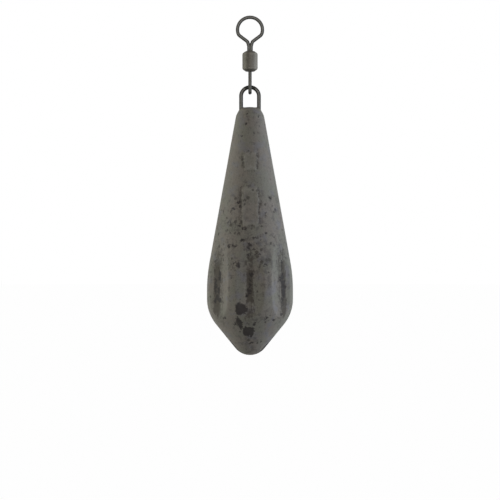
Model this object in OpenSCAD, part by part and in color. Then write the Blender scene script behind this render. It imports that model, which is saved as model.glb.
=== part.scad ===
// Cast fishing sinker with a fluted belly, hung from a rolling swivel.
// Millimetres, +Z up. The origin is the centre of the line eye, from which the sinker hangs.

/* [Lead body] */
// Length of the cast body, from its top to the tip of the nose
body_len = 53.6; // [44:0.1:70]
// Diameter of the body at its widest, between the flutes
belly_d = 18.65; // [17:0.05:24]
// Diameter at which the long taper would meet the flat top
neck_d = 5.4; // [5.2:0.1:6.4]
// Length of the straight widest band, between the two roundings of the belly
belly_flat = 2; // [0.5:0.1:8]
// Angle between the side of the nose cone and the axis
nose_angle = 39.2; // [34:0.1:46]
// Radius of the blunt tip of the nose
nose_r = 4.1; // [3:0.1:5.5]
// Rounding radius of the top edge
neck_round = 2.8; // [2.2:0.1:3]
// Rounding radius where the long taper runs into the belly
belly_top_round = 33; // [20:1:50]
// Rounding radius where the belly turns into the nose cone
belly_end_round = 8.7; // [6:0.1:14]

/* [Flutes] */
// Number of flutes in the front half, and in the back half
flute_n = 3; // [1:1:3]
// Angle between neighbouring flutes of one half
flute_pitch = 50; // [40:1:54]
// Depth of a flute below the widest band
flute_depth = 1; // [0.4:0.05:1.1]
// Radius of a flute's hollow cross-section
flute_r = 9.5; // [8:0.5:11]
// Angle between the floor of a flute and the axis
flute_tilt = 2; // [1:0.1:3]

/* [Wire loop] */
// Diameter of the loop's wire
loop_wire_d = 0.85; // [0.7:0.05:1]
// Width of the loop over its two legs
loop_w = 4.7; // [4.2:0.1:5]
// Height of the loop above the top of the body
loop_h = 4.75; // [4.6:0.05:7]
// Length of each leg that is cast into the body, down to its anchor bend
loop_depth = 14; // [10:0.5:20]
// Radius of the anchor bend, on the centre of the wire
anchor_r = 1; // [0.8:0.1:1.3]
// Straight length of the foot after the anchor bend
anchor_foot = 1.5; // [1:0.1:1.8]

/* [Swivel eyes] */
// Diameter of the wire of both eyes
eye_wire_d = 0.75; // [0.65:0.05:0.85]
// Outer diameter of the line eye's ring
line_eye_d = 6.15; // [5:0.05:8]
// Outer diameter of the link eye's ring
link_eye_d = 4.05; // [3.8:0.05:5]
// Radius of the line eye's corner below its ring, on the centre of the wire
line_corner_r = 1.1; // [0.6:0.1:1.4]
// Radius of the link eye's corner above its ring, on the centre of the wire
link_corner_r = 0.6; // [0.5:0.1:0.8]
// Distance between the wire centres at the top of the throat
throat_pitch = 0.98; // [0.9:0.02:1.1]
// Distance between the wire centres in the pressed neck
neck_pitch = 0.5; // [0.4:0.02:0.6]
// Length of straight neck between the line eye and the barrel
line_neck = 0.95; // [0.2:0.05:2]
// Length of straight neck between the link eye and the barrel
link_neck = 0.45; // [0.2:0.05:2]
// Diameter of the upset head that holds each eye in the barrel
head_d = 2.34; // [2:0.02:2.5]
// Length of the upset head
head_len = 0.8; // [0.6:0.05:1.2]

/* [Barrel] */
// Length of the barrel
barrel_len = 4.4; // [3.8:0.1:6]
// Wall of the barrel's tube
barrel_wall = 0.4; // [0.3:0.05:0.6]
// Thickness of the crimped ends
barrel_end = 0.5; // [0.4:0.05:0.7]
// Rounding radius of the crimped shoulders
barrel_round = 0.45; // [0.3:0.05:0.5]
// Rounding radius of the rim of each end hole
rim_round = 0.12; // [0.05:0.01:0.2]

/* [Clearances] */
// Clearance round the heads and the necks in the barrel
turn_gap = 0.08; // [0.05:0.01:0.12]
// Clearance between each head and the crimped end that holds it
end_gap = 0.06; // [0.03:0.01:0.1]
// Gap between the link eye and the crown of the wire loop
link_gap = 0.4; // [0.1:0.05:0.6]

/* [Hidden] */

// Turns of the wire, whose sines and cosines are short decimals so that bends meet exactly:
// the ring past its widest point, the corner, the leg towards the neck, and the anchor
ring_turn = asin(0.28);
corner_turn = asin(0.6);
leg_turn = ring_turn + corner_turn;
anchor_turn = asin(0.8);
// Bend radii of the throat and of the neck, on the centre of the wire
throat_r = 0.4;
neck_r = 1;
// Rounding radius of the edge of each head
head_round = 0.25;
// Angle between the points of a rounding's arc
arc_step = 6;

// Facets of round shapes in the preview
$fn = 64;

// Swivel sizes
barrel_bore_d = head_d + 2 * turn_gap;
barrel_d = barrel_bore_d + 2 * barrel_wall;
neck_w = neck_pitch + eye_wire_d;
hole_d = neck_w + 2 * turn_gap;
// Straight length of each leg along the throat, which closes onto the neck
throat_len = ((throat_pitch - neck_pitch) / 2 - neck_r * (1 - cos(ring_turn)))
    / sin(ring_turn);

// Heights, from the centre of the line eye downwards
barrel_top = -neck_start(line_eye_d, line_corner_r) - line_neck;
barrel_bottom = barrel_top - barrel_len;
link_z = barrel_bottom - link_neck - neck_start(link_eye_d, link_corner_r);
crown_z = link_z - (link_eye_d / 2 - eye_wire_d - link_gap - loop_wire_d / 2);
body_top = crown_z + loop_wire_d / 2 - loop_h;
nose_tip = body_top - body_len;

// Heights along the body, from the apex of the nose cone up to the widest band
belly_r = belly_d / 2;
nose_apex = nose_tip + nose_r - nose_r / sin(nose_angle);
belly_end = nose_apex + belly_r / tan(nose_angle);
belly_mid = belly_end + belly_end_round * tan(nose_angle / 2) + belly_flat / 2;
flat_top = belly_mid + belly_flat / 2;

// Angle of the long taper, which runs from the neck's corner to touch the belly's top rounding,
// and the height at which it would meet the widest band
taper_from = [neck_d / 2 - belly_r + belly_top_round, body_top - flat_top];
taper = atan2(taper_from[1], taper_from[0]) - acos(belly_top_round / norm(taper_from));
belly_top = flat_top + belly_top_round * tan(taper / 2);

// Loop sizes
loop_bend_r = (loop_w - loop_wire_d) / 2;
loop_leg = crown_z - loop_bend_r - body_top + loop_depth;

// Unit vector along v
function unit(v) = v / norm(v);

// Points of the arc that rounds corner b of the path a, b, c with radius r
function arc(a, b, c, r) =
    let (u = unit(a - b), v = unit(c - b), half = acos(u * v) / 2)
    let (inward = unit(u + v), along = unit(v - u), steps = ceil((90 - half) / arc_step))
    [for (i = [-steps : steps])
        let (t = (90 - half) * i / steps)
        b + inward * (r / sin(half) - r * cos(t)) + along * r * sin(t)];

// Outline through the points [x, z, r] of a path, where each corner is rounded with radius r
function rounded(path) = [
    for (i = [0 : len(path) - 1])
        let (xz = [for (k = [-1 : 1]) let (p = path[(i + k + len(path)) % len(path)]) [p[0], p[1]]])
        each (path[i][2] > 0 ? arc(xz[0], xz[1], xz[2], path[i][2]) : [xz[1]])
];

// Point where a leg leaves the corner of an eye, from the ring's centre
function corner_end(ring_r, corner_r) =
    [(ring_r - corner_r) * cos(ring_turn) + corner_r * cos(leg_turn),
     (ring_r - corner_r) * sin(ring_turn) + corner_r * sin(leg_turn)];

// Straight length of a leg, from the corner to the throat
function leg_len(ring_r, corner_r) =
    (corner_end(ring_r, corner_r)[0] - throat_pitch / 2
        - throat_r * (cos(ring_turn) - cos(leg_turn))) / sin(leg_turn);

// Distance from the centre of an eye's ring to where its neck runs straight
function neck_start(eye_d, corner_r) =
    let (ring_r = (eye_d - eye_wire_d) / 2)
    corner_end(ring_r, corner_r)[1] + leg_len(ring_r, corner_r) * cos(leg_turn)
        + throat_r * (sin(leg_turn) - sin(ring_turn))
        + throat_len * cos(ring_turn) + neck_r * sin(ring_turn);

// Round wire along +Z that bends in the XZ plane. Each step of run is
// [straight length, bend radius, bend angle], and a positive angle bends towards +X.
module wire(d, run, i = 0) {
    if (i < len(run)) {
        straight = run[i][0];
        angle = run[i][2];
        centre = [sign(angle) * run[i][1], 0, 0];
        if (straight > 0) cylinder(d = d, h = straight);
        translate([0, 0, straight]) {
            if (angle != 0)
                translate(centre) rotate([90, 0, angle > 0 ? 180 : 0])
                    rotate_extrude(angle = abs(angle))
                        translate([run[i][1], 0]) circle(d = d);
            translate(centre) rotate([0, angle, 0]) translate(-centre)
                wire(d, run, i + 1);
        }
    }
}

// Wire bent alike to both sides from a crown at height top
module symmetric_wire(d, run, top) {
    for (side = [0, 1])
        mirror([side, 0, 0]) translate([0, 0, top]) rotate([0, 90, 0]) wire(d, run);
}

// Upset head, from z = 0 down, with its outer edge rounded
module head() {
    rotate_extrude()
        polygon(rounded([[0, 0, 0], [head_d / 2, 0, 0],
                         [head_d / 2, -head_len, head_round], [0, -head_len, 0]]));
}

// Eye with its ring in the XZ plane, centred at the origin, its neck pointing down.
// neck_len is the straight neck, down to the top of the head.
module eye(eye_d, corner_r, neck_len) {
    ring_r = (eye_d - eye_wire_d) / 2;
    symmetric_wire(eye_wire_d, [
        [0, ring_r, 90],
        [0, ring_r, ring_turn],
        [0, corner_r, corner_turn],
        [leg_len(ring_r, corner_r), throat_r, -corner_turn],
        [throat_len, neck_r, -ring_turn],
        [neck_len + head_len / 2, 0, 0]
    ], ring_r);
    translate([0, 0, -neck_start(eye_d, corner_r) - neck_len]) head();
}

// Body as turned, before the flutes: flat top, long taper, belly and blunt nose cone
module turned_body() {
    side = rounded([[0, body_top, 0], [neck_d / 2, body_top, neck_round],
                    [belly_r, belly_top, belly_top_round],
                    [belly_r, belly_end, belly_end_round], [0, nose_apex, 0]]);
    steps = ceil((90 - nose_angle) / arc_step);
    rotate_extrude()
        polygon([
            for (p = side) if (p != [0, nose_apex]) p,
            for (i = [0 : steps])
                let (t = (90 - nose_angle) * (1 - i / steps))
                [nose_r * sin(t), nose_tip + nose_r * (1 - cos(t))]
        ]);
}

// Round cutter whose inner side is the floor of one flute
module flute_cutter() {
    translate([belly_r - flute_depth, 0, belly_mid])
        rotate([0, -flute_tilt, 0])
            translate([flute_r, 0, -body_len / 2]) cylinder(r = flute_r, h = body_len);
}

// Loop of wire with its two anchored legs
module loop_wire() {
    symmetric_wire(loop_wire_d, [
        [0, loop_bend_r, 90],
        [loop_leg, anchor_r, -anchor_turn],
        [anchor_foot, 0, 0]
    ], crown_z);
}

// Cast lead body, with the cavity that the loop's legs fill. The mould parts along the loop's
// plane, so the flutes lie in the front and back halves, and the two sides are plain.
module lead_body() {
    color("#5d5c51")
        difference() {
            turned_body();
            for (half = [-90, 90], i = [0 : flute_n - 1])
                rotate([0, 0, half + (i - (flute_n - 1) / 2) * flute_pitch]) flute_cutter();
            loop_wire();
        }
}

// Loop cast into the top of the body
module wire_loop() {
    color("#55544b") loop_wire();
}

// Lower eye of the swivel, which holds the loop, turned a quarter from the line eye
module link_eye() {
    color("#55544b")
        translate([0, 0, link_z]) rotate([180, 0, 90])
            eye(link_eye_d, link_corner_r, link_neck + barrel_end + end_gap);
}

// Tube of the swivel with both ends crimped over the heads
module barrel() {
    outer = barrel_d / 2;
    hole = hole_d / 2;
    bore = barrel_bore_d / 2;
    color("#5a594f")
        translate([0, 0, barrel_bottom])
            rotate_extrude()
                polygon(rounded([
                    [outer, 0, barrel_round], [outer, barrel_len, barrel_round],
                    [hole, barrel_len, rim_round], [hole, barrel_len - barrel_end, 0],
                    [bore, barrel_len - barrel_end, 0], [bore, barrel_end, 0],
                    [hole, barrel_end, 0], [hole, 0, rim_round]
                ]));
}

// Upper eye of the swivel, to which the line is tied
module line_eye() {
    color("#55544b") eye(line_eye_d, line_corner_r, line_neck + barrel_end + end_gap);
}

lead_body();
wire_loop();
link_eye();
barrel();
line_eye();
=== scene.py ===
"""Fishing sinker on a rolling swivel: its coated pieces, the light round it and the camera."""

import math

import bpy
import numpy as np
from bpy.props import FloatProperty, FloatVectorProperty, IntProperty, PointerProperty
from bpy.types import NodeSocket, Operator, Panel, PropertyGroup
from mathutils import Matrix, Vector


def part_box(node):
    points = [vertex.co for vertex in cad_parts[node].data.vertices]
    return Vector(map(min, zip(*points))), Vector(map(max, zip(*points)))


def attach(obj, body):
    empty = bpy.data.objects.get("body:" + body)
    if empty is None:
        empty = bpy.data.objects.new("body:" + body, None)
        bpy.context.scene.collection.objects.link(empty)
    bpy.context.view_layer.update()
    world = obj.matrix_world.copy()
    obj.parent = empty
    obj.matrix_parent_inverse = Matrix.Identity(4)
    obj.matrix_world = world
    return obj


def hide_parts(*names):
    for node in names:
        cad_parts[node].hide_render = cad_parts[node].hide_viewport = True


bl_info = {
    "name": "Fishing Sinker",
    "version": (1, 0, 0),
    "blender": (4, 5, 0),
    "location": "View3D > Sidebar > Sinker",
    "description": "Builds a coated cast sinker with its wire loop and rolling swivel",
    "category": "Add Mesh",
}

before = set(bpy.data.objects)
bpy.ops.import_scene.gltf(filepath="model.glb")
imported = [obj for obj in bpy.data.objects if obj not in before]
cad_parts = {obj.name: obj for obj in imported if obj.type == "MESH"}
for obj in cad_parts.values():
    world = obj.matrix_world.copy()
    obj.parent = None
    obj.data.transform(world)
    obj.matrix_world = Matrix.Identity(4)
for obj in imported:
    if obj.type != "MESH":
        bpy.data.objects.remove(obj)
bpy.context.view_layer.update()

MM = 0.001
PER_METRE = 1000

BODY_LOW, BODY_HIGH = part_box("lead_body")
LOOP_LOW, LOOP_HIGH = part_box("wire_loop")
LINK_LOW, LINK_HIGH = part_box("link_eye")
BARREL_LOW, BARREL_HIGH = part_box("barrel")
LINE_LOW, LINE_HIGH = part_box("line_eye")

# Bends of the swivel's wire, from the widest point of a ring down to its neck
RING_TURN = math.asin(0.28)
CORNER_TURN = math.asin(0.6)
LEG_TURN = RING_TURN + CORNER_TURN
# Bend at the end of each leg of the loop
ANCHOR_TURN = math.asin(0.8)

# Points round the lead body and along its outline
BODY_COLUMNS = 300
BODY_ROWS = 330
# Points round the loop's wire, the eyes' wire, the heads and the barrel
LOOP_SIDES = 40
EYE_SIDES = 36
HEAD_SIDES = 64
BARREL_SIDES = 96
# Steps between the points along the loop's wire and the eyes' wire
LOOP_STEP = 0.08 * MM
EYE_STEP = 0.06 * MM
# Grain in millimetres, and rounds of smoothing, of the skin over an eye's wire and its head
SKIN_GRAIN = 0.045
SKIN_ROUNDS = 6
# Gap between a head's outline and its axis, so that no face collapses there
AXIS_GAP = 0.001 * MM

# Half width of the mould seam, and radius inside which the relief fades towards the axis
SEAM_HALF = 0.3 * MM
FADE_RADIUS = 3 * MM

# Blank pads on the front: height from the line eye, half width and half height, in millimetres
PADS = ((-28.6, 1.5, 1.9), (-38.5, 1.9, 4.1))
# Rounding radius of a pad's corners, and half the angle round the body in which the pads lie
PAD_CORNER = 0.9 * MM
PAD_REACH = math.radians(60)

# Dark patch on the middle of the top: its place and its half widths
TOP_PATCH_PLACE = (-0.35 * MM, -0.3 * MM)
TOP_PATCH_HALF = (1.15 * MM, 1.3 * MM)
# Distance below the top down to which it and the painted highlight on the rim in front of it reach
TOP_BAND = 1.5 * MM

# Dark bottoms of the middle flutes and of those to the left and the right, partly darker coat and
# partly painted shade in the hollows, shifted outwards onto the walls that face the front: half
# width in degrees, middle above the nose's tip and half height in millimetres, and shift in degrees
FLUTE_SHADE_AND_DIRT = {
    "middle": (5, 14.9, 3.5, 0),
    "left": (6.4, 14.6, 5.8, -7),
    "right": (5, 14.6, 5.8, 8),
}
# Paler brown round them, partly darker coat and partly painted shade: middle above the nose's tip
# and half height in millimetres, how much wider it is in degrees, its share of the shift and how
# dense it is
BROWN_SHADE_AND_DIRT = (15, 7.5, 4, 0.35, 0.42)
# Painted highlight on the lip beside the bottom of a middle flute: angle from there and half
# width, in degrees
LIP_ANGLE = -7.6
LIP_WIDTH = 1.4

# Dark dabs where the coat is thin: angle from the front in degrees, height above the nose's tip,
# half width and half height in millimetres, and how dark
FLUTE_DABS = (
    (2, 17.5, 0.5, 0.4, 0.9), (1, 15.9, 0.5, 1.1, 0.65), (-1, 14.2, 0.5, 1, 0.68),
    (-4, 13, 0.3, 0.4, 0.75), (3, 12, 0.35, 0.5, 0.4), (-54, 18.2, 0.3, 0.35, 0.75),
    (-52, 17.1, 0.45, 0.9, 0.8), (-50, 16.3, 0.3, 0.5, 0.65), (-60, 14.9, 0.55, 1.5, 0.7),
    (-54, 14.1, 0.3, 0.8, 0.85), (-56, 12.6, 0.5, 0.45, 1), (-51, 12, 0.45, 0.45, 0.95),
    (-60, 11.8, 0.4, 0.4, 0.8), (56, 19.4, 0.3, 1.5, 0.6), (57, 17, 0.4, 0.6, 0.95),
    (52, 16.5, 0.35, 0.5, 0.8), (58, 15.8, 0.5, 0.5, 0.95), (59, 14.8, 0.7, 0.35, 1.1),
    (58, 13.6, 0.5, 0.75, 1.05), (56, 12, 0.5, 1.2, 0.6), (-47, 22.9, 0.4, 1.2, 0.3),
    (54, 22.5, 0.4, 0.9, 0.35),
)
# The same on the rest of the front, with the large blots first
FRONT_DABS = (
    (-13, 10.2, 0.98, 1.15, 1), (-17, 7.2, 0.6, 1.15, 0.85), (-3.5, 5.35, 0.85, 0.95, 1.2),
    (3, 4.7, 0.35, 0.5, 0.9), (-25, 7, 0.4, 0.35, 0.7), (7, 7, 0.35, 0.35, 0.8),
    (-50, 2.8, 0.5, 0.3, 0.6), (4, 2.8, 0.5, 0.3, 0.7), (26, 8.1, 0.75, 0.4, 0.55),
    (38, 7.8, 0.4, 0.3, 0.65), (53, 9, 0.6, 0.3, 0.7), (-40, 8.3, 0.4, 0.3, 0.6),
    (-1, 23.6, 0.5, 0.75, 0.65),
    (-1, 21.7, 0.45, 0.45, 0.65), (7, 22.9, 0.65, 0.3, 0.5), (11, 21.8, 0.7, 0.35, 0.5),
    (9, 19.9, 0.45, 0.35, 0.5), (14, 19.3, 0.35, 0.35, 0.5), (21, 19.5, 0.5, 0.4, 0.55),
    (10, 25.4, 1.1, 0.45, 0.5), (-12, 24.8, 0.45, 0.3, 0.7), (-25, 23.6, 0.85, 0.35, 0.6),
    (-34, 23.6, 0.5, 0.45, 0.65), (-17, 19.5, 0.45, 0.7, 0.7), (-22, 20, 0.4, 0.3, 0.5),
    (-30, 19.5, 0.7, 0.3, 0.55), (-10, 27.2, 0.55, 0.3, 0.7), (-18, 27.8, 0.35, 0.3, 0.65),
    (-26, 28.6, 0.35, 0.3, 0.65), (-38, 28.8, 0.55, 0.3, 0.6), (-34, 26.3, 0.4, 0.3, 0.5),
    (-22, 26, 0.45, 0.3, 0.55), (26, 26.3, 0.4, 0.3, 0.65), (33, 23.9, 0.4, 0.3, 0.55),
    (42, 23.6, 0.45, 0.3, 0.5), (-32, 31.5, 0.65, 0.3, 0.65), (-22, 32.9, 0.5, 0.35, 0.7),
    (-19, 32, 0.4, 0.35, 0.65), (44, 33.9, 0.65, 0.3, 0.65), (45, 32.1, 0.45, 0.3, 0.6),
    (56, 31.3, 0.6, 0.3, 0.65), (28, 30.6, 0.35, 0.3, 0.55), (-15, 52.1, 0.3, 0.45, 0.6),
    (-15, 49.7, 0.35, 0.3, 0.65), (-29, 47.2, 0.35, 0.3, 0.6), (30, 50.7, 0.35, 0.3, 0.5),
    (-1, 45.7, 0.5, 0.55, 0.4), (-13, 50.9, 0.45, 0.4, 0.5), (42, 51.5, 0.5, 0.35, 0.5),
    (30, 49.4, 0.5, 0.4, 0.45), (15, 47.5, 0.5, 0.35, 0.5), (10, 45.5, 0.4, 0.4, 0.5),
)

# Reach of a dab as a share of its half size, and the most that a ragged one reaches
DAB_REACH = 1.75
DAB_LIMIT = 2.8
# Front dabs that the sides and the back get twice, and height above which a dab keeps its own
REPEATED_DABS = 32
UPPER_DABS = 40

# Soft stains: angle from the front in degrees, height above the nose's tip, half width and half
# height in millimetres, and how dense
STAINED = (
    (14, 22, 2.4, 3.4, 0.2), (25, 19, 1.4, 4, 0.3), (29, 20, 0.8, 3.4, 0.4),
    (29, 14.5, 0.8, 4.4, 0.35), (-18, 27.5, 3.2, 2.4, 0.25), (0, 22, 1, 4.5, 0.4),
    (-16, 34, 1.8, 1.4, 0.35), (18, 8.5, 1.6, 1.8, 0.4), (-6, 8, 2.6, 3.4, 0.3),
    (0, 51, 1.6, 3, 0.25), (0, 3, 3.4, 3, 0.5), (-2, 34, 3.4, 5, 0.12), (4, 9, 2.6, 2.2, 0.15),
    (150, 24, 3.6, 3.2, 0.4), (205, 21, 3, 3.6, 0.4), (180, 9, 3, 3, 0.35),
    (95, 26, 2.6, 3, 0.3), (265, 20, 2.4, 3.4, 0.3),
)
# Stain all over the body, and how much more there is round the belly
PLAIN_STAIN = 0.22
BELLY_STAIN = 0.3

# How dark the patch on the middle of the top is, and how much of the darkening along each pad's
# edge, partly painted shade round the pads and partly thin, dirty and stained coat, goes to the
# thin coat, the dirt and the stains
TOP_PATCH_DARK = 0.95
PAD_SHADE_THIN = 0.4
PAD_SHADE_DIRT = 0.5
PAD_SHADE_STAIN = 0.85
# How light the painted highlights are on the pads, where they also stand for wear, on the rim of
# the top and on the lines beside the flutes' bottoms
PAD_HIGHLIGHT_AND_WEAR = 0.8
RIM_HIGHLIGHT = 0.616
LIP_HIGHLIGHT = 0.77

# Darkest and lightest grain of a coat, as shares of its colour
GRAIN_DARK = (0.84, 0.84, 0.84)
GRAIN_LIGHT = (1.14, 1.14, 1.13)
# Painted shade and painted highlights on the wires and the barrel: how dark and how light they
# make the coat, as shares of its colour
DARK_SHARE = 0.24
LIGHT_SHARE = 2.05
# Share of the painted light that is left where the wires of the loop and the link eye cross,
# which leaves painted shade there
CONTACT_SHARE = 0.22
# How light the barrel's upper end, lower end and tube are painted, and how much painted
# highlight its shoulders add to that
UPPER_END_LIGHT = 0.4
LOWER_END_LIGHT = 0.32
TUBE_LIGHT = 0.42
SHOULDER_HIGHLIGHT = 0.8

# Lamps: name, setting with the power, place and size in metres, and colour
LAMPS = (
    ("left_lamp", "left_power", (-0.42, 0, -0.03), 0.42, (0.9, 1, 0.955)),
    ("right_lamp", "right_power", (0.42, -0.03, -0.03), 0.42, (0.74, 0.87, 1)),
    ("front_lamp", "front_power", (0.02, -0.5, 0.42), 0.5, (1, 0.98, 0.95)),
)
# Radius of the floor in metres, its sides, and the share of white that it shows
FLOOR_REACH = 30
FLOOR_SIDES = 96
FLOOR_WHITE = 0.985


def in_mm(name, description, default, low, high):
    """Length property in metres, whose values are given here in millimetres."""
    return FloatProperty(name=name, description=description, default=default * MM, min=low * MM,
                         max=high * MM, subtype="DISTANCE", unit="LENGTH", precision=5)


def in_degrees(name, description, degrees, low, high):
    """Angle property whose values are given here in degrees."""
    return FloatProperty(name=name, description=description, default=math.radians(degrees),
                         min=math.radians(low), max=math.radians(high),
                         subtype="ANGLE", unit="ROTATION")


def linear_colour(name, description, colour):
    """Linear colour property."""
    return FloatVectorProperty(name=name, description=description, default=colour, min=0, max=1,
                               size=3, subtype="COLOR")


def in_watts(name, description, power):
    """Power property of a lamp in watts."""
    return FloatProperty(name=name, description=description, default=power, min=0, max=50,
                         unit="POWER")


class LeadSettings(PropertyGroup):
    """Sizes of the cast body."""

    belly_d: in_mm("Belly", "Diameter at the widest band", (BODY_HIGH.x - BODY_LOW.x) / MM, 17, 24)
    neck_d: in_mm("Neck", "Diameter at which the taper would meet the flat top", 5.4, 5, 7)
    neck_round: in_mm("Top rounding", "Rounding radius of the top edge", 2.8, 2, 3)
    belly_flat: in_mm("Widest band", "Height of the straight widest band", 2, 0.5, 8)
    belly_top_round: in_mm("Upper rounding", "Radius from the taper to the belly", 33, 20, 50)
    belly_end_round: in_mm("Lower rounding", "Radius from the belly to the nose", 8.7, 6, 14)
    nose_angle: in_degrees("Nose angle", "Angle between the nose cone and the axis", 39.2, 34, 46)
    nose_r: in_mm("Nose tip", "Radius of the blunt tip", 4.1, 3, 6)
    flute_n: IntProperty(name="Flutes", description="Number of flutes in each half", default=3,
                         min=1, max=3)
    flute_pitch: in_degrees("Flute pitch", "Angle between neighbouring flutes", 50, 40, 54)
    flute_depth: in_mm("Flute depth", "Depth of a flute below the widest band", 1, 0.4, 1.1)
    flute_r: in_mm("Flute radius", "Radius of a flute's hollow", 9.5, 8, 11)
    flute_tilt: in_degrees("Flute tilt", "Angle between a flute's floor and the axis", 2, 1, 3)
    flute_lip: in_mm("Flute lip", "Softness of a flute's lips", 0.07, 0, 1)
    pad_height: in_mm("Pad relief", "Height of the two blank pads cast on the front", 0.16, 0, 0.5)
    seam_height: in_mm("Mould seam", "Height of the coated seam on both sides", 0.04, 0, 0.2)
    waviness: in_mm("Waviness", "Depth of the coat's unevenness", 0.03, 0, 0.2)
    meniscus: in_mm("Coat collar", "Height to which the coat climbs the loop's legs", 0.28, 0, 0.6)
    meniscus_reach: in_mm("Collar width", "Distance in which the collar falls off", 0.28, 0.1, 0.6)


class WireSettings(PropertyGroup):
    """Sizes of the loop and of the swivel."""

    loop_wire_d: in_mm("Loop wire", "Diameter of its wire", (LOOP_HIGH.y - LOOP_LOW.y) / MM, 0.6, 1)
    loop_w: in_mm("Loop width", "Width of the loop over its legs", 4.7, 4, 5)
    loop_depth: in_mm("Leg depth", "Length of each leg inside the lead", 14, 10, 20)
    anchor_r: in_mm("Anchor bend", "Radius of the bend at the end of a leg", 1, 0.8, 1.3)
    anchor_foot: in_mm("Anchor foot", "Straight length after the anchor bend", 1.5, 1, 2)
    eye_wire_d: in_mm("Eye wire", "Diameter of the wire of both eyes", 0.75, 0.6, 0.9)
    line_corner_r: in_mm("Line eye corner", "Corner radius below its ring", 1.1, 0.6, 1.4)
    link_corner_r: in_mm("Link eye corner", "Corner radius above its ring", 0.6, 0.5, 0.8)
    throat_pitch: in_mm("Throat", "Distance between the wire centres in the throat", 0.98, 0.9, 1.1)
    neck_pitch: in_mm("Neck", "Distance between the wire centres in the neck", 0.5, 0.4, 0.6)
    throat_r: in_mm("Throat bend", "Radius of the bend into the throat", 0.4, 0.3, 0.5)
    neck_r: in_mm("Neck bend", "Radius of the bend into the neck", 1, 0.8, 1.2)
    head_len: in_mm("Head length", "Length of the upset head", 0.8, 0.6, 1.2)
    head_round: in_mm("Head rounding", "Rounding of the head's edge", 0.25, 0.1, 0.3)
    barrel_wall: in_mm("Barrel wall", "Wall of the barrel's tube", 0.4, 0.3, 0.6)
    barrel_end: in_mm("Barrel end", "Thickness of the crimped ends", 0.5, 0.4, 0.7)
    barrel_round: in_mm("Shoulder", "Rounding of the barrel's shoulders", 0.45, 0.3, 0.5)
    turn_gap: in_mm("Running gap", "Gap round the necks in the barrel's ends", 0.08, 0.05, 0.12)
    crimp: in_mm("Crimp", "Height of the cone at each end of the barrel", 0.5, 0.2, 0.8)
    rim_round: in_mm("Rim rounding", "Rounding of the rim of each end hole", 0.12, 0.05, 0.2)
    lip_w: in_mm("Lip", "Width of the flat lip round each end hole", 0.22, 0.1, 0.4)
    lip_round: in_mm("Lip rounding", "Rounding between the lip and the cone", 0.15, 0.05, 0.2)


class CoatSettings(PropertyGroup):
    """Colours of the coat."""

    olive: linear_colour("Olive", "Greener tone of the coat", (0.099, 0.091, 0.0755))
    warm: linear_colour("Warm grey", "Browner tone of the coat", (0.106, 0.0905, 0.078))
    slate: linear_colour("Slate", "Cooler tone of the coat", (0.096, 0.087, 0.0845))
    # Colour of the painted highlights, and of the wear on the pads
    rubbed: linear_colour("Rubbed", "Lighter tone where the coat is rubbed", (0.137, 0.124, 0.106))
    stain: linear_colour("Stain", "Soft dark stains in the coat", (0.041, 0.035, 0.033))
    speck: linear_colour("Specks", "Small dark specks in the coat", (0.031, 0.027, 0.022))
    bare: linear_colour("Thin coat", "Dark lead under a thin coat", (0.02, 0.0165, 0.0155))
    # Colour of the flutes' bottoms, partly darker coat and partly painted shade
    flute: linear_colour("Flute", "Brown bottom of the flutes", (0.032, 0.0255, 0.0195))
    wire: linear_colour("Wire coat", "Coat on the loop and the eyes", (0.068, 0.063, 0.056))
    tube: linear_colour("Barrel coat", "Coat on the barrel", (0.07, 0.0615, 0.051))


class StageSettings(PropertyGroup):
    """Light and camera."""

    ambient: FloatProperty(name="Ambient", description="Strength of the light from all round",
                           default=0.36, min=0, max=2)
    left_power: in_watts("Left lamp", "Power of the left lamp", 2.55)
    right_power: in_watts("Right lamp", "Power of the right lamp", 3.65)
    front_power: in_watts("Front lamp", "Power of the high front lamp", 1.5)
    floor_z: in_mm("Floor", "Height of the floor under the hanging sinker", -600, -2000, -100)
    lens: FloatProperty(name="Lens", description="Focal length in millimetres", default=135,
                        min=50, max=300, unit="CAMERA")
    view_width: in_mm("View width", "Width of the view at the sinker's axis", 108.15, 50, 300)
    view_height: in_mm("View centre", "Height of the view's centre below the line eye",
                       47.63, 0, 100)


def unit(v):
    """Unit vector along v."""
    return v / np.linalg.norm(v)


def arc_points(before, corner, after, radius, step=math.radians(2)):
    """Points of the arc that rounds a corner of a flat path."""
    u, v = unit(before - corner), unit(after - corner)
    half = math.acos(float(u @ v)) / 2
    inward, along = unit(u + v), unit(v - u)
    reach = math.pi / 2 - half
    turns = np.linspace(-reach, reach, 2 * math.ceil(reach / step) + 1)
    return [corner + inward * (radius / math.sin(half) - radius * math.cos(t))
            + along * radius * math.sin(t) for t in turns]


def rounded(path, closed=False):
    """Points along a flat path of (r, z, rounding radius) corners."""
    corners = [np.array(p[:2], float) for p in path]
    points = []
    for i, (*_, radius) in enumerate(path):
        inner = closed or 0 < i < len(path) - 1
        if radius > 0 and inner:
            points += arc_points(corners[i - 1], corners[i], corners[(i + 1) % len(path)], radius)
        else:
            points.append(corners[i])
    return np.array(points)


def resampled(points, count):
    """The same path with evenly spaced points."""
    lengths = np.r_[0, np.cumsum(np.linalg.norm(np.diff(points, axis=0), axis=1))]
    places = np.linspace(0, lengths[-1], count)
    return np.column_stack([np.interp(places, lengths, values) for values in points.T])


def softer_min(a, b, softness):
    """Smaller of two fields, with a soft crease where they cross."""
    return (a + b - np.sqrt((a - b) ** 2 + softness ** 2)) / 2


def smooth(low, high, value):
    """Smooth step from 0 at low to 1 at high."""
    t = np.clip((value - low) / (high - low), 0, 1)
    return t * t * (3 - 2 * t)


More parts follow.
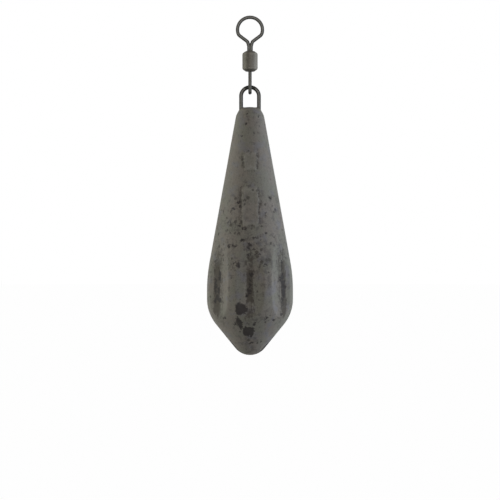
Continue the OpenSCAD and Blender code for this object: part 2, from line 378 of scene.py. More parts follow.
def wavy(angle, height, seed, count=9):
    """Slow uneven field from 0 to 1 round the body, made of a few seeded waves."""
    rng = np.random.default_rng(seed)
    field = np.zeros(angle.shape)
    for _ in range(count):
        turns = rng.integers(1, 9)
        rise = rng.uniform(0.09, 0.66) / MM
        field += rng.uniform(0.4, 1) * np.sin(turns * angle + rise * height
                                              + rng.uniform(0, 2 * math.pi))
    field -= field.min()
    return field / field.max()


def new_object(name, data):
    """New object in the scene that holds a mesh, a lamp or a camera."""
    made = bpy.data.objects.new(name, data)
    bpy.context.scene.collection.objects.link(made)
    return made


def link_object(mesh, material, body, slot, *nodes):
    """Makes the object of a finished mesh in metres, riding on its body in place of CAD nodes."""
    piece = new_object(mesh.name, mesh)
    mesh.materials.append(material)
    mesh.shade_smooth()
    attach(piece, body)
    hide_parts(*nodes)


def grid_faces(rows, columns, loop_rows=False):
    """Faces of a grid of points that closes round its columns, and along its rows if asked."""
    last = rows if loop_rows else rows - 1
    row, column = np.meshgrid(np.arange(last), np.arange(columns), indexing="ij")
    below, right = (row + 1) % rows, (column + 1) % columns
    return np.stack([row * columns + column, below * columns + column,
                     below * columns + right, row * columns + right], -1).reshape(-1, 4).tolist()


def capped_faces(rows, columns):
    """Faces of a grid that closes round its columns, and whose first and last row close onto two
    more points, which come after those of the grid."""
    count = rows * columns
    ring = np.arange(columns)
    after = (ring + 1) % columns
    low = count - columns
    top = np.column_stack([np.full(columns, count), ring, after])
    tip = np.column_stack([low + ring, np.full(columns, count + 1), low + after])
    return [*grid_faces(rows, columns), *top.tolist(), *tip.tolist()]


def make_mesh(name, points, faces):
    """Mesh from points and lists of faces, checked for faults."""
    mesh = bpy.data.meshes.new(name)
    mesh.from_pydata(np.asarray(points).tolist(), [], faces)
    if mesh.validate():
        raise RuntimeError(f"{name} had faulty faces")
    return mesh


def even_turns(count):
    """Angles that part a full turn evenly."""
    return np.arange(count) * 2 * math.pi / count


def revolved(outline, columns):
    """Points and faces of a closed (r, z) outline turned round Z."""
    angles = even_turns(columns)
    r, z = outline[:, :1], outline[:, 1:]
    points = np.stack([r * np.cos(angles), r * np.sin(angles), z + 0 * angles], -1)
    return points.reshape(-1, 3), grid_faces(len(outline), columns, loop_rows=True)


def bent_path(run, step):
    """Points of a wire that starts along +Z and bends towards +X in the XZ plane.
    Each step of run is (straight length, bend radius, bend angle)."""
    place, heading = np.zeros(2), 0.0
    points = [place]
    for straight, radius, angle in run:
        ahead = np.array([math.sin(heading), math.cos(heading)])
        for i in range(1, math.ceil(straight / step) + 1):
            points.append(place + ahead * straight * i / math.ceil(straight / step))
        place = points[-1]
        if angle:
            side = math.copysign(1, angle)
            count = math.ceil(abs(angle) * radius / step)
            centre = place + side * radius * np.array([ahead[1], -ahead[0]])
            for i in range(1, count + 1):
                turn = heading + angle * i / count
                points.append(centre - side * radius * np.array([math.cos(turn), -math.sin(turn)]))
            place, heading = points[-1], heading + angle
    return np.array(points)


def mirrored_wire(run, top, step):
    """Flat (x, z) path of a wire bent alike to both sides from a crown at height top."""
    side = bent_path(run, step)
    right = np.column_stack([side[:, 1], top - side[:, 0]])
    left = right[::-1][:-1] * np.array([-1, 1])
    return np.vstack([left, right])


def tube(path, radius, sides):
    """Points and faces of a round closed tube along a flat (x, z) path."""
    ahead = np.gradient(path, axis=0)
    ahead /= np.linalg.norm(ahead, axis=1)[:, None]
    across = np.column_stack([ahead[:, 1], -ahead[:, 0]])
    angles = even_turns(sides)
    x = path[:, :1] + radius * np.cos(angles) * across[:, :1]
    z = path[:, 1:] + radius * np.cos(angles) * across[:, 1:]
    y = radius * np.sin(angles) + 0 * x
    points = np.stack([x, y, z], -1).reshape(-1, 3)
    last = (len(path) - 1) * sides
    caps = [list(range(sides)), list(range(last + sides - 1, last - 1, -1))]
    return points, [*grid_faces(len(path), sides), *caps]


def merged(name, parts):
    """Mesh of one closed skin over several closed parts, with its creases filled softly.
    The parts are (points, faces) in metres, as the mesh is, and the skin is made in millimetres."""
    points, faces, start = [], [], 0
    for part_points, part_faces in parts:
        points.append(part_points)
        faces += [[i + start for i in face] for face in part_faces]
        start += len(part_points)
    rough = make_mesh(name + "_rough", np.vstack(points) * PER_METRE, faces)
    work = new_object(name + "_work", rough)
    skin = work.modifiers.new("Skin", "REMESH")
    skin.mode = "VOXEL"
    skin.voxel_size = SKIN_GRAIN
    soft = work.modifiers.new("Soft", "SMOOTH")
    soft.factor = 0.5
    soft.iterations = SKIN_ROUNDS
    found = work.evaluated_get(bpy.context.evaluated_depsgraph_get())
    mesh = bpy.data.meshes.new_from_object(found)
    mesh.name = name
    mesh.transform(Matrix.Scale(MM, 4))
    bpy.data.objects.remove(work)
    bpy.data.meshes.remove(rough)
    return mesh


def lead_outline(s):
    """Evenly spaced (r, z) points of the body's side between the middle of its top and the nose's
    tip, and the height of the middle of the widest band."""
    belly_r, top, tip = s.belly_d / 2, BODY_HIGH.z, BODY_LOW.z
    apex = tip + s.nose_r - s.nose_r / math.sin(s.nose_angle)
    belly_end = apex + belly_r / math.tan(s.nose_angle)
    flat_top = belly_end + s.belly_end_round * math.tan(s.nose_angle / 2) + s.belly_flat
    reach = (s.neck_d / 2 - belly_r + s.belly_top_round, top - flat_top)
    taper = math.atan2(reach[1], reach[0]) - math.acos(s.belly_top_round / math.hypot(*reach))
    belly_top = flat_top + s.belly_top_round * math.tan(taper / 2)
    path = [(0, top, 0), (s.neck_d / 2, top, s.neck_round), (belly_r, belly_top, s.belly_top_round),
            (belly_r, belly_end, s.belly_end_round), (0, apex, s.nose_r), (-belly_r, belly_end, 0)]
    points = rounded(path)
    points = np.vstack([[0, top], points[points[:, 0] > 0], [0, tip]])
    return resampled(points, BODY_ROWS + 2)[1:-1], flat_top - s.belly_flat / 2


def flute_angles(s):
    """Angles of the flutes from the front, towards +X."""
    half = [(i - (s.flute_n - 1) / 2) * s.flute_pitch for i in range(s.flute_n)]
    return half + [a + math.pi for a in half]


def angle_from(angle, centre):
    """Signed angle from centre, between minus and plus half a turn."""
    return (angle - centre + math.pi) % (2 * math.pi) - math.pi


def fluted(s, radius, height, angle, belly_mid):
    """The body's radius with the flutes' hollows taken out."""
    floor = s.belly_d / 2 - s.flute_depth - (height - belly_mid) * math.tan(s.flute_tilt)
    centre = floor + s.flute_r
    widest = np.arcsin(s.flute_r / centre)
    for flute in flute_angles(s):
        off = np.minimum(np.abs(angle_from(angle, flute)), widest)
        inside = np.maximum(s.flute_r ** 2 - (centre * np.sin(off)) ** 2, 0)
        radius = softer_min(radius, centre * np.cos(off) - np.sqrt(inside), s.flute_lip)
    return radius


def pad_edge(across, up, half_w, half_h):
    """Signed distance outside the edge of a round-cornered pad, for places from its middle."""
    dx = np.abs(across) - half_w + PAD_CORNER
    dz = np.abs(up) - half_h + PAD_CORNER
    outside = np.hypot(np.maximum(dx, 0), np.maximum(dz, 0))
    return outside + np.minimum(np.maximum(dx, dz), 0) - PAD_CORNER


def pads(angle, height, radius):
    """Relief of the two blank pads, which are a little uneven as cast and dished in the middle, and
    the darkening along each pad's edge, partly painted shade round the pads and partly coat that
    misses them, both from 0 to 1."""
    across = angle * radius
    wobble = 0.1 * MM * (np.sin(across / (0.31 * MM) + 1) + np.sin(height / (0.53 * MM)))
    relief, edge_shade = np.zeros(across.shape), np.zeros(across.shape)
    for middle, half_w, half_h in PADS:
        up = height - middle * MM
        edge = pad_edge(across, up, half_w * MM, half_h * MM) + wobble
        dish = 0.3 + 0.7 * smooth(-1.2 * MM, -0.4 * MM, edge)
        relief = np.maximum(relief, smooth(0.25 * MM, -0.3 * MM, edge) * dish)
        # Painted shade is strongest along the pads' upright sides
        upright = 0.5 + 0.5 * smooth(half_h * MM, half_h * MM - PAD_CORNER, np.abs(up))
        edge_shade = np.maximum(edge_shade, upright * smooth(0.75 * MM, 0.1 * MM, np.abs(edge - 0.1 * MM)))
    front = np.abs(angle) < PAD_REACH
    return relief * front, edge_shade * front


def dab_field(dabs, angle, height, radius, seed=3):
    """How thin the coat is at each point, from 0 to about 1, for a list of ragged dabs."""
    rng = np.random.default_rng(seed)
    field = np.zeros(angle.shape)
    for degrees, place, half_w, half_h, depth in dabs:
        waves = [(n, rng.uniform(0.1, 0.3) / n, rng.uniform(0, 2 * math.pi)) for n in (2, 3, 4, 7)]
        up = (height - BODY_LOW.z) / MM - place
        near = np.abs(up) < DAB_LIMIT * half_h
        across = angle_from(angle[near], math.radians(degrees)) * radius[near] / MM / half_w
        up = up[near] / half_h
        turn = np.arctan2(up, across)
        ragged = 1 + sum(size * np.sin(n * turn + start) for n, size, start in waves)
        far = np.hypot(across, up) * ragged
        field[near] = np.maximum(field[near], depth * np.clip(DAB_REACH - far, 0, 1))
    return field


def top_marks(x, y, height):
    """Dark patch on the middle of the top, and the painted highlight on the rim in front of it,
    both from 0 to 1."""
    up = height > BODY_HIGH.z - TOP_BAND
    far = np.hypot((x - TOP_PATCH_PLACE[0]) / TOP_PATCH_HALF[0], (y - TOP_PATCH_PLACE[1]) / TOP_PATCH_HALF[1])
    # Painted highlight on the rim, on its front and left only
    rim = np.exp(-((far - 1.5) / 0.12) ** 2) * smooth(MM, -MM, x) * (y < 0)
    return smooth(1.2, 0.75, far) * up, rim * up


def stain_field(angle, height, radius, edge_shade):
    """Share of soft stains and specks over the body, from 0 to 1, with the painted shade along each
    pad's edge added in.
    """
    up = (height - BODY_LOW.z) / MM
    field = PLAIN_STAIN + BELLY_STAIN * smooth(38, 33, up) * smooth(8, 20, up)
    for degrees, place, half_w, half_h, depth in STAINED:
        across = angle_from(angle, math.radians(degrees)) * radius / MM
        far = np.hypot(across / half_w, (up - place) / half_h)
        field = field + depth * smooth(1.3, 0.4, far)
    return np.clip(np.maximum(field, PAD_SHADE_STAIN * edge_shade), 0, 1)


def back_dabs(seed=11):
    """Dabs for the sides and the back, of the same kinds as those of the front."""
    rng = np.random.default_rng(seed)
    dabs = [(180 + degrees + rng.uniform(-3, 3), place + rng.uniform(-1.2, 1.2), *rest)
            for degrees, place, *rest in FLUTE_DABS]
    for _, place, half_w, half_h, depth in (*FRONT_DABS, *FRONT_DABS[:REPEATED_DABS]):
        place = place if place > UPPER_DABS else abs(place + rng.uniform(-8, 8))
        dabs.append((rng.uniform(72, 288), place, half_w * rng.uniform(0.8, 1.2),
                     half_h * rng.uniform(0.8, 1.3), depth))
    return dabs


def flute_dirt(s, angle, height):
    """How dark the bottom of each flute is, from 0 to 1: partly coat that misses it and partly
    painted shade in the hollow.
    """
    field = np.zeros(angle.shape)
    up = (height - BODY_LOW.z) / MM
    brown_middle, brown_reach, wider, follows, dense = BROWN_SHADE_AND_DIRT
    for flute in flute_angles(s):
        turned = math.sin(2 * flute)
        kind = "middle" if abs(turned) < 0.2 else "left" if turned < 0 else "right"
        half, middle, reach, shift = FLUTE_SHADE_AND_DIRT[kind]
        off = np.degrees(angle_from(angle, flute))
        dark = smooth(1.5, 0.35, np.abs(off - shift) / half)
        dark = dark * smooth(1.35, 0.7, np.abs(up - middle) / reach)
        brown = smooth(1.35, 0.35, np.abs(off - follows * shift) / (half + wider))
        brown = brown * smooth(1.3, 0.8, np.abs(up - brown_middle) / brown_reach)
        field = np.maximum.reduce([field, dark, dense * brown])
    return field


def lip_highlights(angle, height):
    """Painted highlight: a light line on the lip beside the dark bottom of the front and the back
    middle flute, from 0 to 1.
    """
    up = (height - BODY_LOW.z) / MM
    field = np.zeros(angle.shape)
    for flute in (0, math.pi):
        off = np.degrees(angle_from(angle, flute)) - LIP_ANGLE
        field += np.exp(-(off / LIP_WIDTH) ** 2) * smooth(11, 12, up) * smooth(17.5, 15, up)
    return field


def collar(s, w, x, y, height):
    """How far the coat climbs up round the loop's legs at each point of the body."""
    leg_x = (w.loop_w - w.loop_wire_d) / 2
    off_leg = np.hypot(np.abs(x) - leg_x, y) - w.loop_wire_d / 2
    climb = s.meniscus * np.exp(-np.maximum(off_leg, 0) / s.meniscus_reach)
    return climb * (height > BODY_HIGH.z - 4 * MM) * smooth(-0.7 * MM, -0.3 * MM, off_leg)


def lead_surface(s, w):
    """Grids of the finished body from its top to its nose: angle, height, radius, x and y, the
    relief of the pads and the darkening along each pad's edge, partly painted shade and partly coat
    that misses it."""
    outline, belly_mid = lead_outline(s)
    angles = np.linspace(-math.pi, math.pi, BODY_COLUMNS, endpoint=False)
    angle, height = np.meshgrid(angles, outline[:, 1])
    plain = np.repeat(outline[:, :1], BODY_COLUMNS, axis=1)
    radius = fluted(s, plain, height, angle, belly_mid)
    relief, edge_shade = pads(angle, height, radius)
    off_seam = np.abs(np.abs(angle) - math.pi / 2) * radius
    seam = s.seam_height * smooth(SEAM_HALF, SEAM_HALF / 6, off_seam)
    wave = s.waviness * wavy(angle, height, seed=5)
    fade = smooth(0, FADE_RADIUS, plain)
    radius = radius + (seam - s.seam_height + s.pad_height * relief - wave) * fade
    x, y = radius * np.sin(angle), -radius * np.cos(angle)
    return angle, height + collar(s, w, x, y, height), radius, x, y, relief, edge_shade


def nodes_of(name):
    """New material, its node tree and its shader."""
    material = bpy.data.materials.new(name)
    material.use_nodes = True
    tree = material.node_tree
    return material, tree, tree.nodes["Principled BSDF"]


def add(tree, kind, inputs=(), **settings):
    """New shader node whose inputs, by name or number, are linked or set."""
    node = tree.nodes.new("ShaderNode" + kind)
    for key, value in settings.items():
        setattr(node, key, value)
    for key, value in dict(inputs).items():
        if isinstance(value, NodeSocket):
            tree.links.new(value, node.inputs[key])
        else:
            node.inputs[key].default_value = value
    return node


def scaled(tree, vector, factor):
    """Socket with a vector times a factor."""
    return add(tree, "VectorMath", {0: vector, "Scale": factor}, operation="SCALE").outputs[0]


def millimetres(tree):
    """Socket with the piece's own coordinates in millimetres."""
    return scaled(tree, add(tree, "TexCoord").outputs["Object"], PER_METRE)


def noise(tree, place, per_mm, detail=2, roughness=0.5):
    """Socket with a noise pattern of so many waves to the millimetre."""
    return add(tree, "TexNoise", {"Vector": place, "Scale": per_mm, "Detail": detail,
                                  "Roughness": roughness}).outputs[0]


def ramp(tree, value, low, high, to_low=0, to_high=1):
    """Socket that runs smoothly between two levels as value goes from low to high."""
    return add(tree, "MapRange", {0: value, 1: low, 2: high, 3: to_low, 4: to_high},
               interpolation_type="SMOOTHSTEP").outputs[0]


def sums(tree, operation, a, b):
    """Socket with the result of an operation on two values or sockets."""
    return add(tree, "Math", {0: a, 1: b}, operation=operation).outputs[0]


def plus(tree, a, b, factor):
    """Socket with a plus b times a factor."""
    return sums(tree, "ADD", a, sums(tree, "MULTIPLY", b, factor))


def blend(tree, share, a, b, most=1, kind="MIX"):
    """Socket with colour a turning into b as share goes to 1, but by no more than most."""
    a = a if isinstance(a, NodeSocket) else (*a, 1)
    b = b if isinstance(b, NodeSocket) else (*b, 1)
    share = share if most == 1 else sums(tree, "MULTIPLY", share, most)
    return add(tree, "Mix", {0: share, 6: a, 7: b}, data_type="RGBA", blend_type=kind).outputs[2]


def specks(tree, place, per_mm, amount, ragged=0.5, largest=0.4):
    """Socket that is 1 in small ragged specks. amount is the share of cells that hold one."""
    shift = add(tree, "TexNoise", {"Vector": place, "Scale": 2.6 * per_mm, "Detail": 2})
    moved = scaled(tree, shift.outputs[1], ragged / per_mm)
    moved = add(tree, "VectorMath", {0: place, 1: moved}, operation="ADD").outputs[0]
    cells = add(tree, "TexVoronoi", {"Vector": moved, "Scale": per_mm})
    pick = add(tree, "SeparateColor", {0: cells.outputs["Color"]}).outputs[0]
    size = sums(tree, "SUBTRACT", sums(tree, "ADD", pick, amount), 1)
    size = sums(tree, "MINIMUM", sums(tree, "MULTIPLY", size, 1.4), largest)
    gap = sums(tree, "SUBTRACT", size, cells.outputs["Distance"])
    return ramp(tree, gap, -0.08, 0.06)


def finish_coat(tree, shader, place, colour, height, roughness, shine, relief):
    """Matte coat on the shader: grainy colour, uneven roughness and a fine relief."""
    grain = noise(tree, place, 5, 3, 0.65)
    grainy = blend(tree, ramp(tree, grain, 0.25, 0.75), GRAIN_DARK, GRAIN_LIGHT)
    colour = blend(tree, 1, colour, grainy, kind="MULTIPLY")
    tree.links.new(colour, shader.inputs["Base Color"])
    rough = ramp(tree, noise(tree, place, 1.3, 3), 0.3, 0.7, roughness - 0.08, roughness + 0.08)
    tree.links.new(rough, shader.inputs["Roughness"])
    shader.inputs["Specular IOR Level"].default_value = shine
    bump = add(tree, "Bump", {"Strength": 0.5, "Distance": relief,
                              "Height": plus(tree, height, grain, 0.5)})
    tree.links.new(bump.outputs[0], shader.inputs["Normal"])


def field_of(tree, name):
    """Socket with a field of the mesh."""
    return add(tree, "Attribute", attribute_name=name).outputs["Fac"]


def lead_coat(c):
    """Speckled matte coat of the body, dark where it is thin, with painted shade mixed with darker
    coat in the flutes and round the pads, and painted highlights on the pads, the top's rim and the
    flutes' lips.
    """
    material, tree, shader = nodes_of("lead_coat")
    place = millimetres(tree)
    browner = ramp(tree, noise(tree, place, 0.22, 3), 0.38, 0.62)
    cooler = ramp(tree, noise(tree, place, 0.34, 2, 0.6), 0.52, 0.7)
    tones = blend(tree, browner, c.olive, c.warm)
    tones = blend(tree, cooler, tones, c.slate)

    stain = field_of(tree, "stains")
    cloud = plus(tree, noise(tree, place, 0.95, 4, 0.62), stain, 0.24)
    tones = blend(tree, ramp(tree, cloud, 0.6, 0.82), tones, c.stain, 0.55)
    # Painted highlights on the pads, where they also stand for wear, on the top's rim and the
    # flutes' lips
    tones = blend(tree, field_of(tree, "raised"), tones, c.rubbed, 0.75)
    small = specks(tree, place, 1.1, sums(tree, "MULTIPLY", stain, 0.6))
    tones = blend(tree, small, tones, c.speck, 0.72)

    rough_edge = sums(tree, "SUBTRACT", noise(tree, place, 1.9, 5, 0.68), 0.5)
    stretched = {0: place, 1: (2.4, 2.4, 0.6)}
    upright = add(tree, "VectorMath", stretched, operation="MULTIPLY").outputs[0]
    strokes = sums(tree, "SUBTRACT", noise(tree, upright, 1, 3, 0.6), 0.5)
    # Painted shade mixed with darker coat in the flutes and along each pad's edge
    dirt = plus(tree, plus(tree, field_of(tree, "flute_dirt"), rough_edge, 1.4), strokes, 1.3)
    tones = blend(tree, ramp(tree, dirt, 0.1, 0.75), tones, c.flute, 0.8)
    # Thin coat turns towards bare lead, with the painted shade along each pad's edge
    patch = plus(tree, field_of(tree, "thin_coat"), rough_edge, 1.7)
    thin = ramp(tree, patch, 0.42, 0.72)
    tones = blend(tree, thin, tones, c.bare, 0.92)

    hollow = sums(tree, "MULTIPLY", sums(tree, "MAXIMUM", thin, small), -0.5)
    finish_coat(tree, shader, place, tones, hollow, 0.68, 0.08, 0.05 * MM)
    return material


def wire_coat(name, colour, roughness, patches=0.7):
    """Speckled coat of the loop and the swivel, with painted highlights where its light field is
    high and painted shade elsewhere, broken into uneven patches.
    """
    material, tree, shader = nodes_of(name)
    place = millimetres(tree)
    dark = tuple(DARK_SHARE * v for v in colour)
    light = tuple(LIGHT_SHARE * v for v in colour)
    patchy = sums(tree, "SUBTRACT", noise(tree, place, 1.1, 3, 0.6), 0.5)
    # Painted highlights and painted shade from the light field, broken into uneven patches
    lit_and_worn = plus(tree, field_of(tree, "rubbed"), patchy, patches)
    tones = blend(tree, ramp(tree, lit_and_worn, 0, 0.9), dark, light)
    tones = blend(tree, specks(tree, place, 2.4, 0.2), tones, dark, 0.5)
    finish_coat(tree, shader, place, tones, 0, roughness, 0.05, 0.02 * MM)
    return material


def rows_of(mesh, what):
    """Places or normals of the mesh's points as rows, for what "co" or "normal"."""
    rows = np.zeros(3 * len(mesh.vertices), np.float32)
    mesh.vertices.foreach_get(what, rows)
    return rows.reshape(-1, 3)


def set_field(mesh, name, values):
    """Field of the mesh with a value for each point."""
    field = mesh.attributes.new(name, "FLOAT", "POINT")
    field.data.foreach_set("value", np.asarray(values, np.float32))


def paint_wire_light(mesh, across, share, contact=None):
    """Paints light and shade on a bent wire: 1, a painted highlight, where it faces along across,
    which stands square to the bend's plane, share round the bend's rim, 0, painted shade, between
    these, and less, painted shade, near a contact place where two wires cross."""
    facing = np.abs(rows_of(mesh, "normal") @ np.array(across, np.float32))
    sideways = np.sqrt(np.maximum(1 - facing ** 2, 0))
    rubbed = smooth(0.84, 1, facing) + share * smooth(0.86, 1, sideways)
    if contact is not None:
        far = np.linalg.norm(rows_of(mesh, "co") - np.array(contact), axis=1)
        # Painted shade where the loop and the link eye cross
        rubbed = rubbed * (CONTACT_SHARE + (1 - CONTACT_SHARE) * smooth(MM, 1.5 * MM, far))
    set_field(mesh, "rubbed", rubbed)


def paint_barrel_light(mesh, low, high, crimp):
    """Paints light and shade on the barrel: uneven painted highlights in rings on its shoulders,
    painted shade on its crimped ends, and between them a tube that is painted lighter beside its
    front and back and darker at its sides."""
    points = rows_of(mesh, "co")
    from_end = np.minimum(points[:, 2] - low, high - points[:, 2])
    turn = np.arctan2(points[:, 0], -points[:, 1])
    sideways = np.abs(np.sin(turn))
    # Painted highlights in uneven rings on the shoulders
    shoulder = np.exp(-((from_end - crimp - 0.1 * MM) / (0.13 * MM)) ** 2)
    uneven = 0.5 + 0.5 * np.sin(3 * turn + 1.9) * np.sin(5 * turn + 0.4)
    between = smooth(crimp - 0.1 * MM, crimp + 0.15 * MM, from_end)
    # Painted light between the front and the sides, painted shade at the sides
    bands = TUBE_LIGHT + 0.08 * smooth(0.35, 0.8, sideways) - 0.3 * smooth(0.9, 1, sideways)
    end = np.where(points[:, 2] > (low + high) / 2, UPPER_END_LIGHT, LOWER_END_LIGHT)
    set_field(mesh, "rubbed", end + (bands - end) * between + SHOULDER_HIGHLIGHT * shoulder * uneven)


class SINKER_OT_lead_body(Operator):
    """Cast body with its flutes, blank pads, seam and coat"""

    bl_idname = "sinker.lead_body"
    bl_label = "Lead Body"

    def execute(self, context):
        s, w = context.scene.sinker_lead, context.scene.sinker_wire
        angle, height, radius, x, y, relief, edge_shade = lead_surface(s, w)
        points = np.vstack([np.stack([x, y, height], -1).reshape(-1, 3),
                            [[0, 0, BODY_HIGH.z], [0, 0, BODY_LOW.z]]])
        mesh = make_mesh("lead_body_coated", points, capped_faces(BODY_ROWS, BODY_COLUMNS))

        dabs = dab_field((*FLUTE_DABS, *FRONT_DABS, *back_dabs()), angle, height, radius)
        top_patch, rim = top_marks(x, y, height)
        lips = lip_highlights(angle, height)
        fields = {
            "thin_coat": np.maximum.reduce([dabs, TOP_PATCH_DARK * top_patch, PAD_SHADE_THIN * edge_shade]),
            "flute_dirt": np.maximum(flute_dirt(s, angle, height), PAD_SHADE_DIRT * edge_shade),
            # Stains, with the painted shade along each pad's edge
            "stains": stain_field(angle, height, radius, edge_shade),
            # Painted highlights, with wear on the pads
            "raised": np.maximum.reduce([PAD_HIGHLIGHT_AND_WEAR * relief, RIM_HIGHLIGHT * rim, LIP_HIGHLIGHT * lips]),
        }
        for name, field in fields.items():
            set_field(mesh, name, np.r_[field.ravel(), 0, 0])
        link_object(mesh, lead_coat(context.scene.sinker_coat), "sinker", "body_coat", "lead_body")
        return {"FINISHED"}


class SINKER_OT_wire_loop(Operator):
    """Loop of coated wire, with its legs cast into the lead"""

    bl_idname = "sinker.wire_loop"
    bl_label = "Wire Loop"

    def execute(self, context):
        w = context.scene.sinker_wire
        bend_r = (w.loop_w - w.loop_wire_d) / 2
        crown = LOOP_HIGH.z - w.loop_wire_d / 2
        leg = crown - bend_r - BODY_HIGH.z + w.loop_depth
        path = mirrored_wire([(0, bend_r, math.pi / 2), (leg, w.anchor_r, -ANCHOR_TURN),
                              (w.anchor_foot, 0, 0)], crown, LOOP_STEP)
        mesh = make_mesh("wire_loop_coated", *tube(path, w.loop_wire_d / 2, LOOP_SIDES))
        paint_wire_light(mesh, (0, 1, 0), 0.55, (0, 0, crown))
        coat = wire_coat("loop_coat", context.scene.sinker_coat.wire, 0.52)
        link_object(mesh, coat, "sinker", "loop_wire", "wire_loop")
        return {"FINISHED"}


def eye_parts(w, eye_d, corner_r, low):
    """Wire and head of an eye whose ring is centred at the origin, with its neck down to low."""
    ring_r = (eye_d - w.eye_wire_d) / 2
    corner_x = (ring_r - corner_r) * math.cos(RING_TURN) + corner_r * math.cos(LEG_TURN)
    leg = (corner_x - w.throat_pitch / 2
           - w.throat_r * (math.cos(RING_TURN) - math.cos(LEG_TURN))) / math.sin(LEG_TURN)
    throat = ((w.throat_pitch - w.neck_pitch) / 2
              - w.neck_r * (1 - math.cos(RING_TURN))) / math.sin(RING_TURN)
    run = [(0, ring_r, math.pi / 2 + RING_TURN), (0, corner_r, CORNER_TURN),
           (leg, w.throat_r, -CORNER_TURN), (throat, w.neck_r, -RING_TURN)]
    neck_start = bent_path(run, EYE_STEP)[-1][0] - ring_r
    neck = -low - neck_start - w.head_len / 2
    path = mirrored_wire([*run, (neck, 0, 0)], ring_r, EYE_STEP)
    head_r = LINE_HIGH.y
    head = rounded([(AXIS_GAP, low + w.head_len, 0), (head_r, low + w.head_len, 0),
                    (head_r, low, w.head_round), (AXIS_GAP, low, 0)])
    return [tube(path, w.eye_wire_d / 2, EYE_SIDES), revolved(head, HEAD_SIDES)]


class SINKER_OT_line_eye(Operator):
    """Upper eye of the swivel, to which the line is tied"""

    bl_idname = "sinker.line_eye"
    bl_label = "Line Eye"

    def execute(self, context):
        w = context.scene.sinker_wire
        parts = eye_parts(w, LINE_HIGH.x - LINE_LOW.x, w.line_corner_r, LINE_LOW.z)
        mesh = merged("line_eye_coated", parts)
        paint_wire_light(mesh, (0, 1, 0), 0.55)
        coat = wire_coat("line_eye_coat", context.scene.sinker_coat.wire, 0.5)
        link_object(mesh, coat, "line_eye", "swivel_wire", "line_eye")
        return {"FINISHED"}


class SINKER_OT_link_eye(Operator):
    """Lower eye of the swivel, which holds the loop"""

    bl_idname = "sinker.link_eye"
    bl_label = "Link Eye"

    def execute(self, context):
        w = context.scene.sinker_wire
        eye_d = LINK_HIGH.y - LINK_LOW.y
        centre = LINK_LOW.z + eye_d / 2
        parts = eye_parts(w, eye_d, w.link_corner_r, centre - LINK_HIGH.z)
        mesh = merged("link_eye_coated", parts)
        mesh.transform(Matrix.Translation((0, 0, centre)) @ Matrix.Rotation(math.pi / 2, 4, "Z")
                       @ Matrix.Rotation(math.pi, 4, "X"))
        paint_wire_light(mesh, (1, 0, 0), 0.9, (0, 0, LINK_LOW.z + w.eye_wire_d / 2))
        coat = wire_coat("link_eye_coat", context.scene.sinker_coat.wire, 0.5)
        link_object(mesh, coat, "link_eye", "swivel_wire", "link_eye")
        return {"FINISHED"}


class SINKER_OT_barrel(Operator):
    """Tube of the swivel, with both ends crimped over the heads"""

    bl_idname = "sinker.barrel"
    bl_label = "Barrel"

    def execute(self, context):
        w = context.scene.sinker_wire
        outer, low, high = BARREL_HIGH.x, BARREL_LOW.z, BARREL_HIGH.z
        bore = outer - w.barrel_wall
        hole = (w.neck_pitch + w.eye_wire_d) / 2 + w.turn_gap
        lip = hole + w.lip_w
        path = [(hole, low, w.rim_round), (lip, low, w.lip_round),
                (outer, low + w.crimp, w.barrel_round), (outer, high - w.crimp, w.barrel_round),
                (lip, high, w.lip_round), (hole, high, w.rim_round),
                (hole, high - w.barrel_end, 0), (bore, high - w.barrel_end, 0),
                (bore, low + w.barrel_end, 0), (hole, low + w.barrel_end, 0)]
        mesh = make_mesh("barrel_coated", *revolved(rounded(path, closed=True), BARREL_SIDES))
        paint_barrel_light(mesh, low, high, w.crimp)
        coat = wire_coat("barrel_coat", context.scene.sinker_coat.tube, 0.5, 0.3)
        link_object(mesh, coat, "barrel", "swivel_barrel", "barrel")
        return {"FINISHED"}


def area_lamp(name, place, aim, size, power, colour):
    """Adds a soft square lamp at place that shines at aim."""
    data = bpy.data.lights.new(name, "AREA")
    data.shape = "SQUARE"
    data.size = size
    data.energy = power
    data.color = colour
    lamp = new_object(name, data)
    lamp.location = place
    lamp.rotation_euler = (Vector(aim) - Vector(place)).to_track_quat("-Z", "Y").to_euler()


def seen_share(tree):
    """Socket that is 1 for camera, mirror and see-through rays."""
    ray = add(tree, "LightPath").outputs
    shown = sums(tree, "MAXIMUM", ray["Is Camera Ray"], ray["Is Glossy Ray"])
    return sums(tree, "MAXIMUM", shown, ray["Is Transmission Ray"])


def white_world(ambient):
    """World that shows white and lights softly from all round."""
    world = bpy.data.worlds.new("studio")
    world.use_nodes = True
    tree = world.node_tree
    background = tree.nodes["Background"]
    strength = add(tree, "Mix", {0: seen_share(tree), 2: ambient, 3: 1}).outputs[0]
    tree.links.new(strength, background.inputs["Strength"])
    background.inputs["Color"].default_value = (1, 1, 1, 1)
    bpy.context.scene.world = world


def floor_white():
    """Pale floor that shows almost white and keeps a faint shadow."""
    material, tree, shader = nodes_of("floor_white")
    shader.inputs["Base Color"].default_value = (0.9, 0.9, 0.9, 1)
    shader.inputs["Roughness"].default_value = 0.9
    glow = add(tree, "Emission", {"Color": (1, 1, 1, 1), "Strength": 1})
    share = sums(tree, "MULTIPLY", seen_share(tree), FLOOR_WHITE)
    mixed = add(tree, "MixShader", {0: share, 1: shader.outputs[0], 2: glow.outputs[0]})
    tree.links.new(mixed.outputs[0], tree.nodes["Material Output"].inputs["Surface"])
    return material


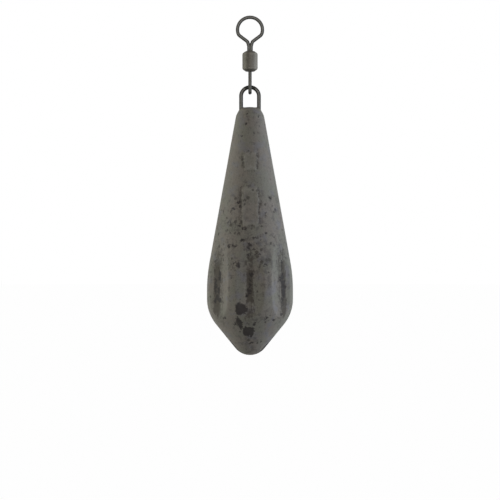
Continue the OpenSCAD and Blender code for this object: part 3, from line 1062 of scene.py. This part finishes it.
class SINKER_OT_stage(Operator):
    """White surroundings, soft lamps and the camera"""

    bl_idname = "sinker.stage"
    bl_label = "Stage"

    def execute(self, context):
        scene, s = context.scene, context.scene.sinker_stage
        scene.view_settings.view_transform = "Standard"
        white_world(s.ambient)
        for name, power, place, size, colour in LAMPS:
            area_lamp(name, place, (0, 0, -s.view_height), size, getattr(s, power), colour)

        rim = [(FLOOR_REACH * math.cos(t), FLOOR_REACH * math.sin(t), s.floor_z)
               for t in even_turns(FLOOR_SIDES)]
        mesh = make_mesh("floor", rim, [range(FLOOR_SIDES)])
        mesh.materials.append(floor_white())
        floor = new_object("floor", mesh)

        data = bpy.data.cameras.new("camera")
        data.lens = s.lens
        camera = new_object("camera", data)
        distance = s.view_width * s.lens / data.sensor_width
        camera.location = (0, -distance, -s.view_height)
        camera.rotation_euler = (math.pi / 2, 0, 0)
        scene.camera = camera
        return {"FINISHED"}


class SINKER_PT_panel(Panel):
    """Sidebar panel with the sinker's pieces"""

    bl_idname = "SINKER_PT_panel"
    bl_label = "Fishing Sinker"
    bl_space_type = "VIEW_3D"
    bl_region_type = "UI"
    bl_category = "Sinker"

    def draw(self, context):
        for operator in OPERATORS:
            self.layout.operator(operator.bl_idname)
        for group in GROUPS:
            box = self.layout.box()
            settings = getattr(context.scene, group)
            for name in settings.bl_rna.properties.keys():
                if name not in ("rna_type", "name"):
                    box.prop(settings, name)


OPERATORS = (SINKER_OT_stage, SINKER_OT_lead_body, SINKER_OT_wire_loop, SINKER_OT_link_eye,
             SINKER_OT_barrel, SINKER_OT_line_eye)
GROUPS = {"sinker_lead": LeadSettings, "sinker_wire": WireSettings, "sinker_coat": CoatSettings,
          "sinker_stage": StageSettings}


def register():
    """Registers the settings, the operators and the panel."""
    for settings in GROUPS.values():
        bpy.utils.register_class(settings)
    for operator in (*OPERATORS, SINKER_PT_panel):
        bpy.utils.register_class(operator)
    for name, settings in GROUPS.items():
        setattr(bpy.types.Scene, name, PointerProperty(type=settings))


def unregister():
    """Takes back what register did."""
    for name in GROUPS:
        delattr(bpy.types.Scene, name)
    for operator in (SINKER_PT_panel, *reversed(OPERATORS)):
        bpy.utils.unregister_class(operator)
    for settings in reversed(list(GROUPS.values())):
        bpy.utils.unregister_class(settings)


def main():
    """Builds every piece."""
    register()
    bpy.ops.sinker.stage()
    bpy.ops.sinker.lead_body()
    bpy.ops.sinker.wire_loop()
    bpy.ops.sinker.link_eye()
    bpy.ops.sinker.barrel()
    bpy.ops.sinker.line_eye()


if __name__ == "__main__":
    main()
